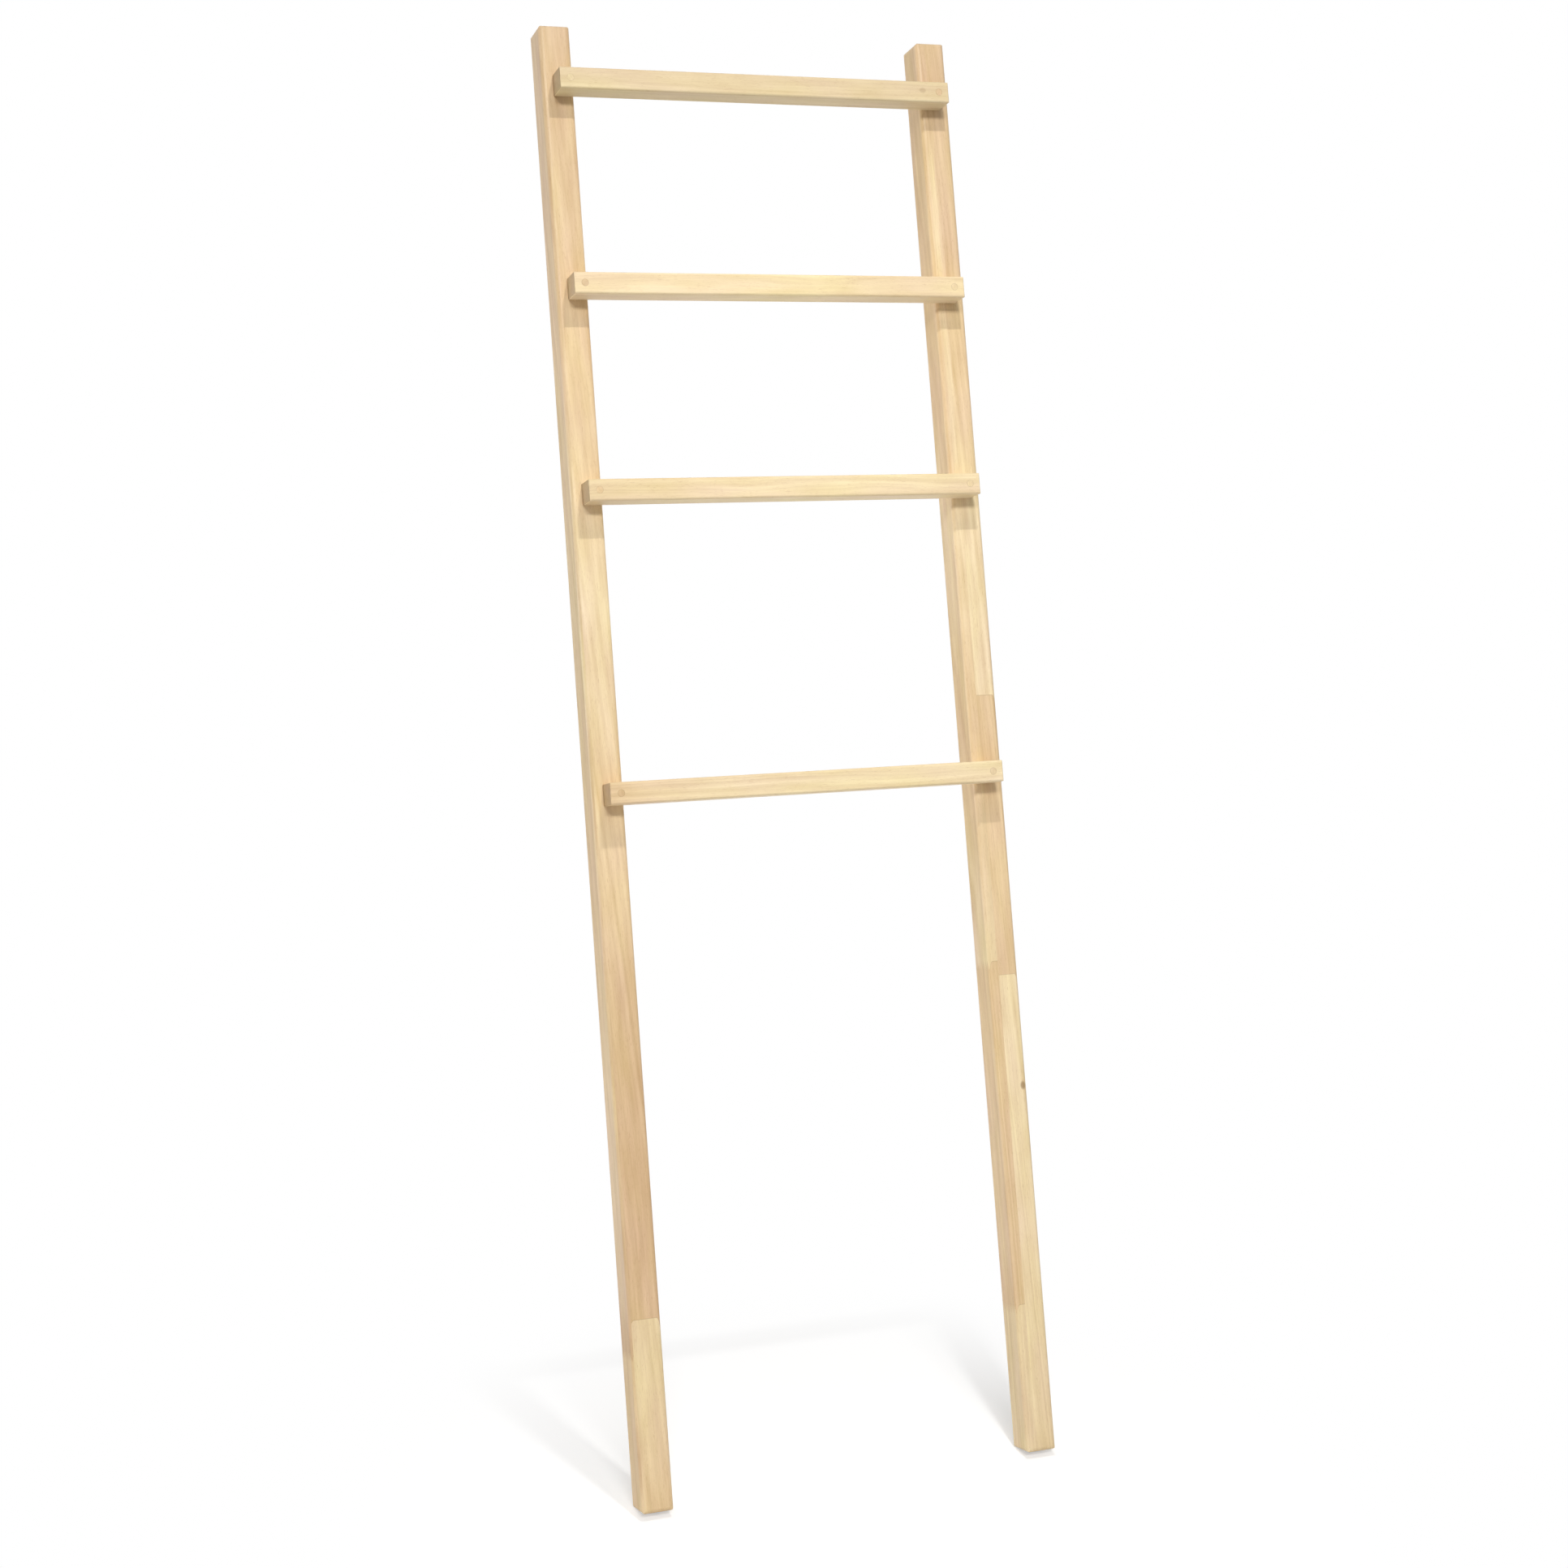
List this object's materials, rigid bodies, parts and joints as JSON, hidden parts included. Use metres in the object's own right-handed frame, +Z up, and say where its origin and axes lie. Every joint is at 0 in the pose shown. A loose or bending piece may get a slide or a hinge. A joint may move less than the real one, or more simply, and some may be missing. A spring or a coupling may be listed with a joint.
{
  "type": "towel ladder",
  "caption": "Leaning towel ladder in pale rubberwood, with flat rungs screwed and plugged across two rounded stiles, the lowest rung set apart.",
  "frame": {"origin": "on the floor, below the middle of the leaning ladder's box", "axes": "+Z up, +X to the right seen from the front, +Y the way the ladder leans back"},
  "size_m": [0.48, 0.3968, 1.566],
  "materials": {
    "stile_wood": "satin clear coat on planed, finger-jointed rubberwood",
    "rung_wood": "satin clear coat on planed rubberwood",
    "plug_wood": "sanded end grain under a satin clear coat",
    "screw_steel": "bright zinc plate"
  },
  "bodies": {
    "root": {"left_stile": "stile_wood", "right_stile": "stile_wood", "rung_1": "rung_wood", "rung_2": "rung_wood", "rung_3": "rung_wood", "rung_4": "rung_wood", "rung_1_left_screw": "screw_steel", "rung_1_right_screw": "screw_steel", "rung_2_left_screw": "screw_steel", "rung_2_right_screw": "screw_steel", "rung_3_left_screw": "screw_steel", "rung_3_right_screw": "screw_steel", "rung_4_left_screw": "screw_steel", "rung_4_right_screw": "screw_steel", "rung_1_left_plug": "plug_wood", "rung_1_right_plug": "plug_wood", "rung_2_left_plug": "plug_wood", "rung_2_right_plug": "plug_wood", "rung_3_left_plug": "plug_wood", "rung_3_right_plug": "plug_wood", "rung_4_left_plug": "plug_wood", "rung_4_right_plug": "plug_wood"}
  },
  "joints": []
}
